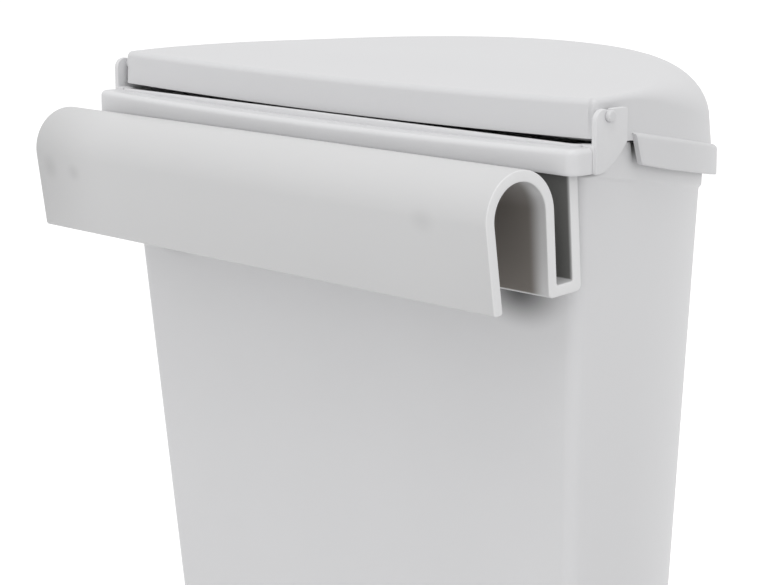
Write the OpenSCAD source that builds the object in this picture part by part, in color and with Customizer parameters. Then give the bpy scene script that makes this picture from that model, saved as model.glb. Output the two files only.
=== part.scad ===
// Door-hung kitchen waste bin: a tapered tub with a flat back and a rounded front, a hood
// lid that turns on two stub pins, and an S-shaped hanger that hooks over a cabinet door.
// Z up, front towards -Y, origin at the centre of the flat base. Millimetres.

/* [Tub] */
// Width of the tub's side walls at the rim
rim_w = 220.6; // [190:1:270]
// Depth of the tub at the rim, from the back wall to the front
rim_d = 128.2; // [110:1:160]
// Width of the base
base_w = 186; // [150:1:188]
// Depth of the base
base_d = 93; // [70:1:104]
// Height of the hinge line's level above the base
rim_h = 262; // [180:1:330]
// Thickness of the tub's wall and floor
wall = 2; // [1.4:0.1:3]
// Radius of the upright corners at the back
back_corner_r = 4.5; // [4:0.5:14]
// Radius of the edge between floor and walls
base_edge_r = 5; // [2:0.5:8]
// Angle at which the back wall leans forward towards the base
back_lean = 4; // [2:0.1:5]
// Angle at which the rim falls towards the front
rim_slope = 10; // [4:0.1:14]

/* [Collar] */
// How far the collar stands out from the walls
collar_step = 0.8; // [0.4:0.1:1.6]
// Depth of the collar's lower edge below the hinge level, at the back
collar_drop = 14.1; // [11:0.1:20]
// Angle at which the collar's lower edge falls towards the front
collar_slope = 9.2; // [4:0.1:12]

/* [Rear rail] */
// Depth of the rail behind the back wall
rail_d = 6.5; // [6.4:0.1:9]
// Thickness of the rail's hanging lip
rail_lip = 2; // [1.4:0.1:2.4]
// Distance of each end of the rail inside the ear's outer face
rail_inset = 1; // [0.2:0.1:1.6]
// Depth of the rail's top below the hinge level, at its ends
rail_drop = 5.4; // [4.8:0.1:7]
// Height of the rail
rail_h = 7.6; // [6:0.1:12]
// Radius of the rail's rear corners
rail_corner_r = 3.5; // [2:0.1:5]
// Sag of the rail's top in the middle, and of the lid's rear edges above it
rail_sag = 1.5; // [0:0.1:1.6]
// Number of ribs inside the rail
rib_count = 9; // [3:1:15]
// Thickness of each rib
rib_t = 1.6; // [1:0.1:2.4]

/* [Ears and pins] */
// Distance of an ear's outer face from the collar beside it
ear_stand = 4.2; // [3.9:0.1:5]
// Thickness of an ear
ear_t = 1.8; // [1.4:0.1:2.2]
// Length of an ear from back to front
ear_l = 13.2; // [11:0.1:18]
// Height of an ear above the hinge level
ear_top = 5.3; // [5:0.1:8]
// Radius of an ear's upper rear corner
ear_corner_r = 3.4; // [1:0.1:4.5]
// Depth of an ear's lower front corner below the hinge level
ear_drop = 4.8; // [4:0.1:6]
// Distance of the pin's axis in front of the back wall
pin_y = 7.4; // [6.6:0.1:9]
// Height of the pin's axis above the hinge level
pin_z = 3.3; // [2:0.1:3.4]
// Radius of a stub pin
pin_r = 1.7; // [1.2:0.1:1.9]
// Radial clearance of a pin in its ear
pin_gap = 0.06; // [0.02:0.01:0.1]
// How far a pin stands out of its ear
pin_out = 1.3; // [0.5:0.1:2]
// Width of the snap-in throat above a pin
throat_w = 2.4; // [1.6:0.1:3]

/* [Lid] */
// Thickness of the lid's wall
lid_wall = 1.8; // [1.2:0.1:2.4]
// Distance of the lid's rear wall in front of the back wall
lid_back = 4; // [3.5:0.1:5]
// Height of the lid's top above the hinge level, at its rear corners
lid_top = 7.9; // [6.5:0.1:10]
// Rise of the lid's top towards the front, as a slope
lid_rise = 0.031; // [0:0.001:0.08]
// Height of the crown across the middle of the lid's top
lid_crown = 1.6; // [0:0.1:4]
// Width of the lid's rounded shoulder at the front
shoulder_w = 20.5; // [10:0.5:26]
// Height of the lid's rounded shoulder at the front
shoulder_h = 17.3; // [10:0.1:20]
// Size of the lid's edge radius at the rear
edge_r = 1.9; // [1:0.1:3]
// Gap between the lid's rear lower edge and the rail
rear_gap = 2; // [1.8:0.1:3]
// Side clearance between the lid's rear end and an ear
lid_side_gap = 0.9; // [0.5:0.1:1.4]

/* [Lid flange] */
// Height of the flange band
flange_h = 9.7; // [6:0.1:12]
// Thickness of the flange band
flange_t = 2; // [1.4:0.1:2.4]
// Clearance between the flange band and the collar
flange_gap = 1.3; // [0.8:0.1:2]
// Gap between an ear and the rear end of the flange
flange_start = 5.2; // [3:0.1:8]
// Slant of the flange's rear end
flange_slant = 2.8; // [0:0.1:5]

/* [Door hanger] */
// Distance of each end of the hanger from the rail's end
hanger_inset = 4.5; // [2:0.5:40]
// Thickness of the hanger
hanger_t = 3.4; // [2.4:0.1:3.6]
// Width of the channel between the hanger's plate and its inner arm
channel_w = 6.6; // [6.6:0.1:9]
// Width of the gap that takes the door
door_gap = 20.4; // [16:0.2:26]
// Height of the hanger from its underside to its top
hanger_h = 38.8; // [30:0.1:60]
// Length of the outer lip below the centre of the bend
lip_l = 25.2; // [14:0.1:45]
// Angle at which the outer lip leans inwards
lip_lean = 3.9; // [0:0.1:6]
// Clearance between the hanger's plate and the roof of the rail
plate_gap = 0.3; // [0.3:0.1:0.6]

/* [Hidden] */
$fn = 96;

// Steps round the front, in each rear corner, along each side, on a shoulder and on a top
FRONT_STEPS = 40;
CORNER_STEPS = 4;
SIDE_STEPS = 3;
SHOULDER_STEPS = 5;
TOP_STEPS = 3;
HALF_POINTS = CORNER_STEPS + SIDE_STEPS + FRONT_STEPS / 2;

// Length of the straight stretch of each side behind the rounded front
side_l = 13;
// Clearance of the hanger's plate from the back wall and from the ribs
wall_gap = 0.3;
// Clearance between the lid's seat and the rim, and the thickness of the flange's shelf
seat_gap = 0.5;
shelf_t = 2.5;
// Thickness of the rail's roof, and depth of the rim below the ends of its top
rail_roof = 1;
rim_relief = 0.1;
// Distance of an ear's rear edge in front of the back wall
ear_back = 2;
// Upright corner radius of the lid's rear wall, and the inward draft of its walls
lid_corner_r = 3;
lid_draft = 0.09;
// Stretch from the lid's rear wall over which its edge grows into the full shoulder
shoulder_from = 12;
shoulder_to = 84;
// Stretch over which the rear wall's sag turns into the crown
crown_l = 46;
// Overlap that joins shapes into one moulding, and the step by which the lip's faces stand
// back from the bend's
weld = 0.6;
lip_relief = 0.02;

// Sizes that follow from the ones above
back_y = base_d / 2 + rim_h * tan(back_lean);
collar_a = rim_w / 2 + collar_step;
collar_d = rim_d + collar_step;
ear_front = ear_back + ear_l;
ear_a = collar_a + ear_stand;
ear_in = ear_a - ear_t;
rail_a = ear_a - rail_inset;
rail_low = rail_drop + rail_h;
rail_under = rail_drop + rail_sag + rail_roof;
lid_a = ear_in - lid_side_gap;
lid_drop = rail_drop - rear_gap;
lid_d = collar_d - lid_back - seat_gap;
flange_in = flange_gap;
flange_out = flange_gap + flange_t;
flange_back = ear_front + flange_start;
hanger_y = wall_gap;
arm_y = hanger_y + hanger_t + channel_w;
bend_r = door_gap / 2;
bend_y = arm_y + hanger_t + bend_r;
hanger_top = plate_gap + rail_under;
bend_z = -hanger_top - hanger_t - bend_r;
hanger_low = -hanger_top - hanger_h;
rib_y = hanger_y + hanger_t + wall_gap - rail_under * tan(back_lean);

function unit(v) = v / norm(v);
function mix(a, b, t) = a + (b - a) * t;
function clamp(t) = min(1, max(0, t));
function smooth(t) = let (c = clamp(t)) c * c * (3 - 2 * c);

// Point i of a flat-backed, round-fronted plan: half the width a, depth d from y0, rear
// corner radius r. The points run from one rear corner round the front to the other.
function half_pt(i, a, d, y0, r) =
    i <= CORNER_STEPS
        ? let (t = 90 * i / CORNER_STEPS) [-(a - r) - r * sin(t), y0 - r + r * cos(t)]
        : i <= CORNER_STEPS + SIDE_STEPS
            ? [-a, y0 - r - (side_l - r) * (i - CORNER_STEPS) / SIDE_STEPS]
            : let (t = 180 * (i - CORNER_STEPS - SIDE_STEPS) / FRONT_STEPS)
              [-a * cos(t), y0 - side_l - (d - side_l) * sin(t)];
function plan_pt(i, a, d, y0, r) =
    i <= HALF_POINTS ? half_pt(i, a, d, y0, r)
        : let (p = half_pt(2 * HALF_POINTS - i, a, d, y0, r)) [-p.x, p.y];
PLAN = [0 : 2 * HALF_POINTS];

// Outward normal of each point of a plan
function normals(p) = let (n = len(p)) [for (i = [0 : n - 1])
    let (t = unit(p[(i + 1) % n] - p[(i + n - 1) % n])) [t.y, -t.x]];

// A closed skin through rings of equal length. Each end is closed by the faces of cap, which
// list points of a ring, or by one face when there is none
module loft(rings, cap = undef) {
    n = len(rings[0]);
    m = len(rings);
    ends = is_undef(cap) ? [[for (i = [0 : n - 1]) i]] : cap;
    polyhedron(
        points = [for (r = rings) each r],
        faces = concat(
            ends,
            [for (k = [0 : m - 2]) for (i = [0 : n - 1]) let (j = (i + 1) % n)
                each [[k * n + j, k * n + i, (k + 1) * n + i],
                      [k * n + j, (k + 1) * n + i, (k + 1) * n + j]]],
            [for (f = ends) [for (i = [len(f) - 1 : -1 : 0]) (m - 1) * n + f[i]]]),
        convexity = 8);
}

// Everything below is drawn from the top of the back wall at the hinge level, and this
// puts it on the base
module on_base() { translate([0, back_y, rim_h]) children(); }

// The tub's plan at height z, grown by off all round and by step at the sides and front
function wall_pt(i, z, off, step) = let (
    t = 1 + z / rim_h,
    a = mix(base_w, rim_w, t) / 2 + off + step,
    d = mix(base_d, rim_d, t) + 2 * off + step,
    p = plan_pt(i, a, d, z * tan(back_lean) + off, max(1, back_corner_r + off)))
    [p.x, p.y, z];
function flat_ring(z, off) = [for (i = PLAN) wall_pt(i, z, off, 0)];

// Heights of the rim and of the collar's lower edge at a distance y in front of the back wall
function rim_z(y) = -rail_drop - rim_relief + tan(rim_slope) * min(0, y + flange_back);
function collar_z(y) = -collar_drop + tan(collar_slope) * min(0, y);
function rim_ring(off, step) = [for (i = PLAN)
    wall_pt(i, rim_z(wall_pt(i, 0, off, step).y), off, step)];
function collar_ring(rise, step) = [for (i = PLAN)
    wall_pt(i, collar_z(wall_pt(i, 0, 0, step).y) + rise, 0, step)];

module tub_shell() {
    e = base_edge_r;
    in_e = max(1, e - wall);
    loft(concat(
        [for (t = [0, 30, 60, 90]) flat_ring(-rim_h + e - e * cos(t), -e + e * sin(t))],
        [collar_ring(0, 0), collar_ring(collar_step, collar_step)],
        [rim_ring(0, collar_step), rim_ring(-wall, 0)],
        [for (t = [90, 45, 0])
            flat_ring(-rim_h + wall + in_e - in_e * cos(t), -wall - in_e + in_e * sin(t))]));
}

// Plan of the rail: a bar with rounded rear corners, drawn in by inset
module rail_plan(inset) {
    r = rail_corner_r - min(inset, rail_corner_r - 0.5);
    a = rail_a - inset;
    y = rail_d - inset;
    translate([-a + r, -wall]) square([2 * (a - r), y + wall]);
    translate([-a, -wall]) square([2 * a, y - r + wall]);
    for (s = [-1, 1]) translate([s * (a - r), y - r]) circle(r);
}

// The rail that hangs behind the rim: a roof and a lip, with ribs that hold the plate
module rail() {
    sag_r = ear_in * ear_in / (2 * max(0.05, rail_sag));
    difference() {
        translate([0, 0, -rail_low]) linear_extrude(rail_h) rail_plan(0);
        translate([0, 0, -rail_low - 1]) linear_extrude(rail_low - rail_under + 1)
            rail_plan(rail_lip);
        translate([0, 0, sag_r - rail_drop - rail_sag]) rotate([90, 0, 0])
            cylinder(h = 3 * rail_d, r = sag_r, center = true, $fn = 2400);
    }
    pitch = 2 * (rail_a - 2 * rail_corner_r) / rib_count;
    for (i = [0 : rib_count - 1])
        translate([(i - (rib_count - 1) / 2) * pitch - rib_t / 2, rib_y, -rail_low + 1])
            cube([rib_t, rail_d - rail_lip - rib_y + weld, rail_low - 1 - rail_under + weld]);
}

// Side view of an ear above its foot, and of the foot that runs down to the rail's underside
module ear_side() {
    r = ear_corner_r;
    translate([-ear_front, -ear_drop]) square([ear_l - r, ear_top + ear_drop]);
    translate([-ear_front, -ear_drop]) square([ear_l, ear_top + ear_drop - r]);
    translate([-ear_back - r, ear_top - r]) circle(r);
}
module foot_side() {
    foot_h = rail_low - ear_drop;
    polygon([[-ear_back, -ear_drop], [-ear_back, -rail_low], [-0.25 * ear_front, -rail_low],
             [-0.52 * ear_front, -rail_low + 0.2 * foot_h],
             [-0.86 * ear_front, -rail_low + 0.72 * foot_h], [-ear_front, -ear_drop]]);
}

// An ear, its foot against the collar, and the bearing that a pin snaps into from above
module ear() {
    reach = ear_a - collar_a + weld;
    difference() {
        union() {
            translate([ear_in, 0, 0]) rotate([90, 0, 90]) linear_extrude(ear_t) ear_side();
            translate([ear_a - reach, 0, 0]) rotate([90, 0, 90])
                linear_extrude(reach) foot_side();
        }
        translate([ear_in - 1, -pin_y, pin_z]) rotate([0, 90, 0])
            cylinder(h = ear_t + 2, r = pin_r + pin_gap);
        translate([ear_in - 1, -pin_y - throat_w / 2, pin_z])
            cube([ear_t + 2, throat_w, ear_top]);
    }
}

module tub() {
    color([0.82, 0.82, 0.83]) on_base() {
        tub_shell();
        rail();
        ear();
        mirror([1, 0, 0]) ear();
    }
}

// The lid's top: level across its rear wall apart from a sag, rising and crowned in front
function top_z(x, y) = let (
    depth = -lid_back - y,
    bulge = mix(-rail_sag, lid_crown, smooth(depth / crown_l)))
    lid_top + lid_rise * depth + bulge * (1 - pow(x / lid_a, 2));
function shoulder(y) = smooth((-lid_back - y - shoulder_from) / (shoulder_to - shoulder_from));
function lid_low_z(x, y) = y > -ear_front
    ? -lid_drop - (y > -lid_back - lid_corner_r ? rail_sag * (1 - pow(x / lid_a, 2)) : 0)
    : rim_z(y) + seat_gap;

// One skin of the hood, set in by t and down by t, as rings from its lower edge to its middle
function hood_rings(t) = let (
    low = [for (i = PLAN)
        plan_pt(i, lid_a - t, lid_d - 2 * t, -lid_back - t, lid_corner_r - min(t, 3))],
    n = normals(low),
    in_at = function (i, lean, turn) let (
        p = low[i],
        s = shoulder(p.y),
        w = mix(edge_r, shoulder_w, s) * (1 - cos(turn)) + lean)
        [p.x - n[i].x * w, min(p.y - n[i].y * w, -lid_back - t)],
    drop = function (i) mix(edge_r, shoulder_h, shoulder(low[i].y)),
    lean = [for (i = PLAN) low[i].y > -lid_back - t - 0.1 ? 0
        : lid_draft * (top_z(low[i].x, low[i].y) - drop(i) - lid_low_z(low[i].x, low[i].y))],
    edge = [for (i = PLAN) in_at(i, lean[i], 90)],
    mid = [0, -lid_back - lid_d / 2])
    concat(
        [[for (i = PLAN) [low[i].x, low[i].y, lid_low_z(low[i].x, low[i].y)]]],
        [for (k = [0 : SHOULDER_STEPS]) let (turn = 90 * k / SHOULDER_STEPS)
            [for (i = PLAN) let (q = in_at(i, lean[i], turn))
                [q.x, q.y, top_z(q.x, q.y) - t - drop(i) * (1 - sin(turn))]]],
        [for (k = [1 : TOP_STEPS]) let (f = k / (TOP_STEPS + 0.1))
            [for (i = PLAN) let (q = mix(edge[i], mid, f)) [q.x, q.y, top_z(q.x, q.y) - t]]]);

module hood() {
    outer = hood_rings(0);
    inner = hood_rings(lid_wall);
    n = len(inner);
    loft(concat([for (k = [n - 1 : -1 : 0]) inner[k]], outer));
}

// The band that hangs round the collar, as sections along the rounded front
module flange() {
    b = collar_d - side_l;
    from = asin((flange_back - side_l) / b);
    sections = [for (k = [0 : FRONT_STEPS]) let (
        turn = mix(from, 180 - from, k / FRONT_STEPS),
        p = [-collar_a * cos(turn), -side_l - b * sin(turn)],
        n = unit([-cos(turn) / collar_a, -sin(turn) / b]),
        top = rim_z(p.y) + seat_gap + shelf_t,
        end = k == 0 || k == FRONT_STEPS ? flange_slant / flange_h : 0)
        [for (s = [[-1.2, 0], [flange_out - 1, 0], [flange_out, -1], [flange_out, -flange_h],
                   [flange_in, -flange_h], [flange_in, -shelf_t], [-1.2, -shelf_t]])
            [p.x + n.x * s[0], p.y + n.y * s[0] + end * s[1], top + s[1]]]];
    loft(sections, [[0, 1, 2, 5, 6], [2, 3, 4, 5]]);
}

// A stub pin, from inside the lid's side wall to its chamfered tip outside the ear
module pin() {
    tip = 0.6;
    root = lid_a - lid_wall - 1;
    translate([root, -pin_y, pin_z]) rotate([0, 90, 0]) {
        cylinder(h = ear_a + pin_out - tip - root, r = pin_r);
        translate([0, 0, ear_a + pin_out - tip - root])
            cylinder(h = tip, r1 = pin_r, r2 = pin_r - tip);
    }
}

module lid() {
    color([0.85, 0.85, 0.86]) on_base() {
        hood();
        flange();
        pin();
        mirror([1, 0, 0]) pin();
    }
}

// Side view of the hanger: plate, foot, inner arm, bend and leaning lip
module hanger_side() {
    outer = bend_r + hanger_t;
    translate([hanger_y, hanger_low]) square([hanger_t, -hanger_top - hanger_low]);
    translate([hanger_y, hanger_low]) square([arm_y + hanger_t - hanger_y, hanger_t]);
    translate([arm_y, hanger_low]) square([hanger_t, bend_z - hanger_low]);
    translate([bend_y, bend_z]) {
        intersection() {
            difference() {
                circle(outer);
                circle(bend_r);
            }
            union() {
                translate([-outer - 1, 0]) square([1.5 * outer + 1, outer + 2]);
                rotate(-lip_lean) square([outer + 1, outer + 2]);
            }
        }
        rotate(-lip_lean) translate([bend_r + lip_relief, -lip_l])
            square([hanger_t - 2 * lip_relief, lip_l + weld]);
    }
}

module door_hanger() {
    color([0.8, 0.8, 0.81]) on_base() rotate([-back_lean, 0, 0])
        rotate([90, 0, 90]) linear_extrude(2 * (rail_a - hanger_inset), center = true) hanger_side();
}

tub();
lid();
door_hanger();
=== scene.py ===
"""Door-hung kitchen waste bin: tub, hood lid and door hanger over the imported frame.

The sizes are in millimetres in the rim frame, whose origin is the top of the tub's back
wall at the hinge level: +X to the left seen from behind, +Y out of the back wall, +Z up.
Rim.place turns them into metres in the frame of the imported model.
"""

import logging
import math
from dataclasses import dataclass, field, replace
from enum import Enum
from typing import Callable, Sequence

import bmesh
import bpy
from mathutils import Matrix, Vector

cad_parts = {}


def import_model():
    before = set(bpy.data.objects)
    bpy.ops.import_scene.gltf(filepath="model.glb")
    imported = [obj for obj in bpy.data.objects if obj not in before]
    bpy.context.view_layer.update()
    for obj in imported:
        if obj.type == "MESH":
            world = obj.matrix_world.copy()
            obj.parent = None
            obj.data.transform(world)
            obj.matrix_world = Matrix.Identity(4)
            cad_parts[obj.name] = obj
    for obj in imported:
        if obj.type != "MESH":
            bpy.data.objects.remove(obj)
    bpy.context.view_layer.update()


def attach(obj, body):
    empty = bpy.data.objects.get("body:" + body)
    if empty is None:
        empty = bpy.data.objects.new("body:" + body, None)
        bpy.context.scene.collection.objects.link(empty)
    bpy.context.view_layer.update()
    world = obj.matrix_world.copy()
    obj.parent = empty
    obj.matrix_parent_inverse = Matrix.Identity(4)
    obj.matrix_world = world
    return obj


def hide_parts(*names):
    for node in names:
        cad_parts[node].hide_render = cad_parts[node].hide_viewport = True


log = logging.getLogger("kitchen_bin")

MM = 0.001
SMOOTH_BELOW = math.radians(32)
Pair = tuple[float, float]
Triple = tuple[float, float, float]


class Body(Enum):
    """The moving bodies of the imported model."""

    TUB = "tub"
    LID = "lid"
    HANGER = "hanger"


def mix(a: float, b: float, t: float) -> float:
    """The value a share t of the way from a to b."""
    return a + (b - a) * t


def smooth(t: float) -> float:
    """A soft step from 0 to 1 as t goes from 0 to 1."""
    t = min(1.0, max(0.0, t))
    return t * t * (3 - 2 * t)


def arc(centre: Pair, r: float, start: float, stop: float, steps: int) -> list[Pair]:
    """Points of an arc in a plane, both ends included.

    Args:
        centre: the arc's centre.
        r: its radius.
        start: the angle of the first point, in degrees.
        stop: the angle of the last point, in degrees.
        steps: the number of segments.

    Returns:
        steps + 1 points.
    """
    turns = [math.radians(mix(start, stop, k / steps)) for k in range(steps + 1)]
    return [(centre[0] + r * math.cos(t), centre[1] + r * math.sin(t)) for t in turns]


# ---------------------------------------------------------------------------
# The plan and the sizes that the three mouldings share


@dataclass(frozen=True)
class Plan:
    """A flat-backed, round-fronted plan, walked clockwise from the middle of its back."""

    back_marks: tuple[float, ...] = (
        0, 0.1, 0.2, 0.3, 0.4, 0.5, 0.6, 0.7, 0.8, 0.87, 0.93, 0.965, 0.985, 1)
    corner_steps: int = 8
    side_steps: int = 4
    front_steps: int = 64

    def points(self, a: float, d: float, y0: float, r: float, side: float) -> list[Pair]:
        """The plan's points.

        Args:
            a: half its width.
            d: its depth from back to front.
            y0: the place of its flat back.
            r: radius of its rear corners.
            side: length of the straight sides behind the rounded front.

        Returns:
            The points, from the middle of the back round the +X side to the front and back.
        """
        half = [(u * (a - r), y0) for u in self.back_marks]
        half += arc((a - r, y0 - r), r, 90, 0, self.corner_steps)[1:]
        half += [(a, y0 - mix(r, side, k / self.side_steps))
                 for k in range(1, self.side_steps + 1)]
        for k in range(1, self.front_steps + 1):
            t = math.radians(90 * k / self.front_steps)
            half.append((a * math.cos(t), y0 - side - (d - side) * math.sin(t)))
        return half + [(-x, y) for x, y in reversed(half[1:-1])]

    @staticmethod
    def normals(points: Sequence[Pair]) -> list[Pair]:
        """The outward normal at each point of a plan.

        Args:
            points: the plan's points, in their order.

        Returns:
            One unit normal for each point.
        """
        out = []
        for i, _ in enumerate(points):
            (x0, y0), (x1, y1) = points[i - 1], points[(i + 1) % len(points)]
            length = math.hypot(x1 - x0, y1 - y0)
            out.append((-(y1 - y0) / length, (x1 - x0) / length))
        return out


@dataclass(frozen=True)
class Rim:
    """Sizes round the rim, where tub, lid and hanger meet."""

    rim_w: float = 220.6
    rim_d: float = 128.2
    base_w: float = 186.0
    base_d: float = 93.0
    rim_h: float = 262.0
    wall: float = 2.0
    corner_r: float = 4.5
    lean: float = math.radians(4)
    slope: float = math.radians(10)
    side_l: float = 13.0
    collar_step: float = 0.8
    collar_drop: float = 14.1
    collar_slope: float = math.radians(9.2)
    rail_d: float = 6.5
    rail_lip: float = 2.0
    rail_inset: float = 1.0
    rail_drop: float = 5.4
    rail_h: float = 7.6
    rail_sag: float = 1.5
    rail_roof: float = 1.0
    rim_relief: float = 0.1
    rear_lift: float = 0.6
    lift_from: float = 10.0
    lift_over: float = 5.0
    ear_stand: float = 4.2
    ear_t: float = 1.8
    ear_l: float = 13.2
    ear_back: float = 2.0
    ear_top: float = 5.3
    ear_drop: float = 4.8
    pin_y: float = 7.4
    pin_z: float = 3.3
    pin_r: float = 1.7
    seat_gap: float = 0.5
    flange_start: float = 5.2
    plan: Plan = field(default_factory=Plan)

    @property
    def back_y(self) -> float:
        """Distance of the back wall's top behind the middle of the base."""
        return self.base_d / 2 + self.rim_h * math.tan(self.lean)

    @property
    def collar_a(self) -> float:
        """Half the width across the collar."""
        return self.rim_w / 2 + self.collar_step

    @property
    def collar_d(self) -> float:
        """Depth of the collar from the back wall."""
        return self.rim_d + self.collar_step

    @property
    def ear_a(self) -> float:
        """Half the distance across the ears."""
        return self.collar_a + self.ear_stand

    @property
    def ear_front(self) -> float:
        """Distance of an ear's front edge in front of the back wall."""
        return self.ear_back + self.ear_l

    @property
    def flange_back(self) -> float:
        """Distance of the flange's rear end in front of the back wall."""
        return self.ear_front + self.flange_start

    @property
    def rail_a(self) -> float:
        """Half the length of the rail."""
        return self.ear_a - self.rail_inset

    @property
    def rail_low(self) -> float:
        """Depth of the rail's underside below the hinge level."""
        return self.rail_drop + self.rail_h

    def place(self, x: float, y: float, z: float) -> Vector:
        """A point of the rim frame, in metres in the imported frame."""
        return Vector((x, y + self.back_y, z + self.rim_h)) * MM

    def rim_z(self, y: float) -> float:
        """Height of the rim at a distance y from the back wall."""
        lift = self.rear_lift * smooth((y + self.lift_from) / self.lift_over)
        return (-self.rail_drop - self.rim_relief + lift
                + math.tan(self.slope) * min(0.0, y + self.flange_back))

    def collar_z(self, y: float) -> float:
        """Height of the collar's lower edge at a distance y from the back wall."""
        return -self.collar_drop + math.tan(self.collar_slope) * min(0.0, y)

    def wall_ring(self, height: float | Callable[[float], float],
                  off: float = 0.0, step: float = 0.0) -> list[Triple]:
        """A ring of the tub's wall.

        Args:
            height: the ring's height, or a function of the distance from the back wall.
            off: how far the ring is grown all round.
            step: how far it is grown at the sides and the front alone.

        Returns:
            Points in the rim frame.
        """
        def at(z: float) -> list[Pair]:
            """The wall's plan.

            Args:
                z: the height of the plan.

            Returns:
                Its points.
            """
            t = 1 + z / self.rim_h
            return self.plan.points(
                mix(self.base_w, self.rim_w, t) / 2 + off + step,
                mix(self.base_d, self.rim_d, t) + 2 * off + step,
                z * math.tan(self.lean) + off, max(1.0, self.corner_r + off), self.side_l)

        if not callable(height):
            return [(x, y, height) for x, y in at(height)]
        out = []
        for i, (_, y) in enumerate(at(0.0)):
            z = height(y)
            x, y = at(z)[i]
            out.append((x, y, z))
        return out


# ---------------------------------------------------------------------------
# Modelling with the mesh operators


def deselect() -> None:
    """Leaves edit mode and deselects everything."""
    if bpy.context.object and bpy.context.object.mode != "OBJECT":
        bpy.ops.object.mode_set(mode="OBJECT")
    bpy.ops.object.select_all(action="DESELECT")


def select(*parts: bpy.types.Object) -> None:
    """Selects pieces alone, the first of them active."""
    deselect()
    for part in parts:
        part.select_set(True)
    bpy.context.view_layer.objects.active = parts[0]


class RingSkin:
    """A skin that grows ring by ring out of a circle primitive."""

    PLACE = "place_in_ring"
    ROW = "row"
    SAME_POINT = 1e-7

    def __init__(self, name: str, rim: Rim, first: Sequence[Triple]) -> None:
        """Adds the first ring.

        Args:
            name: the object's name.
            rim: the shared sizes, which place a point.
            first: the first ring's points, in the rim frame.
        """
        self.rim = rim
        self.rows = 0
        deselect()
        bpy.ops.mesh.primitive_circle_add(vertices=len(first), radius=0.1)
        self.obj = bpy.context.object
        self.obj.name = self.obj.data.name = name
        bpy.ops.object.mode_set(mode="EDIT")
        bpy.ops.mesh.select_mode(type="VERT")
        layers = bmesh.from_edit_mesh(self.obj.data).verts.layers.int
        for layer in (self.PLACE, self.ROW):
            layers.new(layer)
        mesh, place, row = self._opened()
        for i, v in enumerate(mesh.verts):
            v[place], v[row] = i, 0
            v.co = rim.place(*first[i])
        bmesh.update_edit_mesh(self.obj.data)

    def _opened(self) -> tuple[bmesh.types.BMesh, object, object]:
        """The edit mesh, with its layers of places in a ring and of row numbers."""
        mesh = bmesh.from_edit_mesh(self.obj.data)
        return mesh, mesh.verts.layers.int[self.PLACE], mesh.verts.layers.int[self.ROW]

    def grow(self, ring: Sequence[Triple]) -> "RingSkin":
        """Extrudes the last ring's edges and lays the new ring in place.

        Args:
            ring: the new ring's points, in the rim frame.

        Returns:
            The skin itself.
        """
        self.rows += 1
        bpy.ops.mesh.extrude_region_move(TRANSFORM_OT_translate={"value": (0, 0, 0)})
        mesh, place, row = self._opened()
        for v in mesh.verts:
            if v.select:
                v[row] = self.rows
                v.co = self.rim.place(*ring[v[place]])
        bmesh.update_edit_mesh(self.obj.data)
        return self

    def pick(self, row_number: int) -> None:
        """Selects the points of one ring.

        Args:
            row_number: the ring's number, 0 for the first.
        """
        bpy.ops.mesh.select_all(action="DESELECT")
        mesh, _, row = self._opened()
        for v in mesh.verts:
            if v[row] == row_number:
                v.select = True
        mesh.select_flush(True)
        bmesh.update_edit_mesh(self.obj.data)

    def cap(self, row_number: int) -> "RingSkin":
        """Closes a ring with one face."""
        self.pick(row_number)
        bpy.ops.mesh.edge_face_add()
        return self

    def pinch(self, row_number: int) -> "RingSkin":
        """Draws a ring together into one point."""
        self.pick(row_number)
        bpy.ops.mesh.merge(type="CENTER")
        return self

    def bridge_rows(self, row_number: int, first: Sequence[int],
                    second: Sequence[int]) -> "RingSkin":
        """Closes a ring with faces between two of its stretches.

        Args:
            row_number: the ring's number.
            first: places of the points of one stretch.
            second: places of the points of the other.

        Returns:
            The skin itself.
        """
        bpy.ops.mesh.select_mode(type="EDGE")
        bpy.ops.mesh.select_all(action="DESELECT")
        mesh, place, row = self._opened()
        one, two = set(first), set(second)
        for e in mesh.edges:
            ends = {v[place] for v in e.verts}
            same = all(v[row] == row_number for v in e.verts)
            e.select = same and (ends <= one or ends <= two)
        bmesh.update_edit_mesh(self.obj.data)
        bpy.ops.mesh.bridge_edge_loops()
        bpy.ops.mesh.select_mode(type="VERT")
        return self

    def done(self, angle: float = 40.0) -> bpy.types.Object:
        """Turns the faces outwards and shades the piece.

        Args:
            angle: edges sharper than this, in degrees, stay sharp.

        Returns:
            The finished object.
        """
        bpy.ops.mesh.select_all(action="SELECT")
        bpy.ops.mesh.remove_doubles(threshold=self.SAME_POINT)
        bpy.ops.mesh.normals_make_consistent(inside=False)
        bpy.ops.object.mode_set(mode="OBJECT")
        for name in (self.PLACE, self.ROW):
            self.obj.data.attributes.remove(self.obj.data.attributes[name])
        bpy.ops.object.shade_smooth_by_angle(angle=math.radians(angle))
        return self.obj


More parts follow.
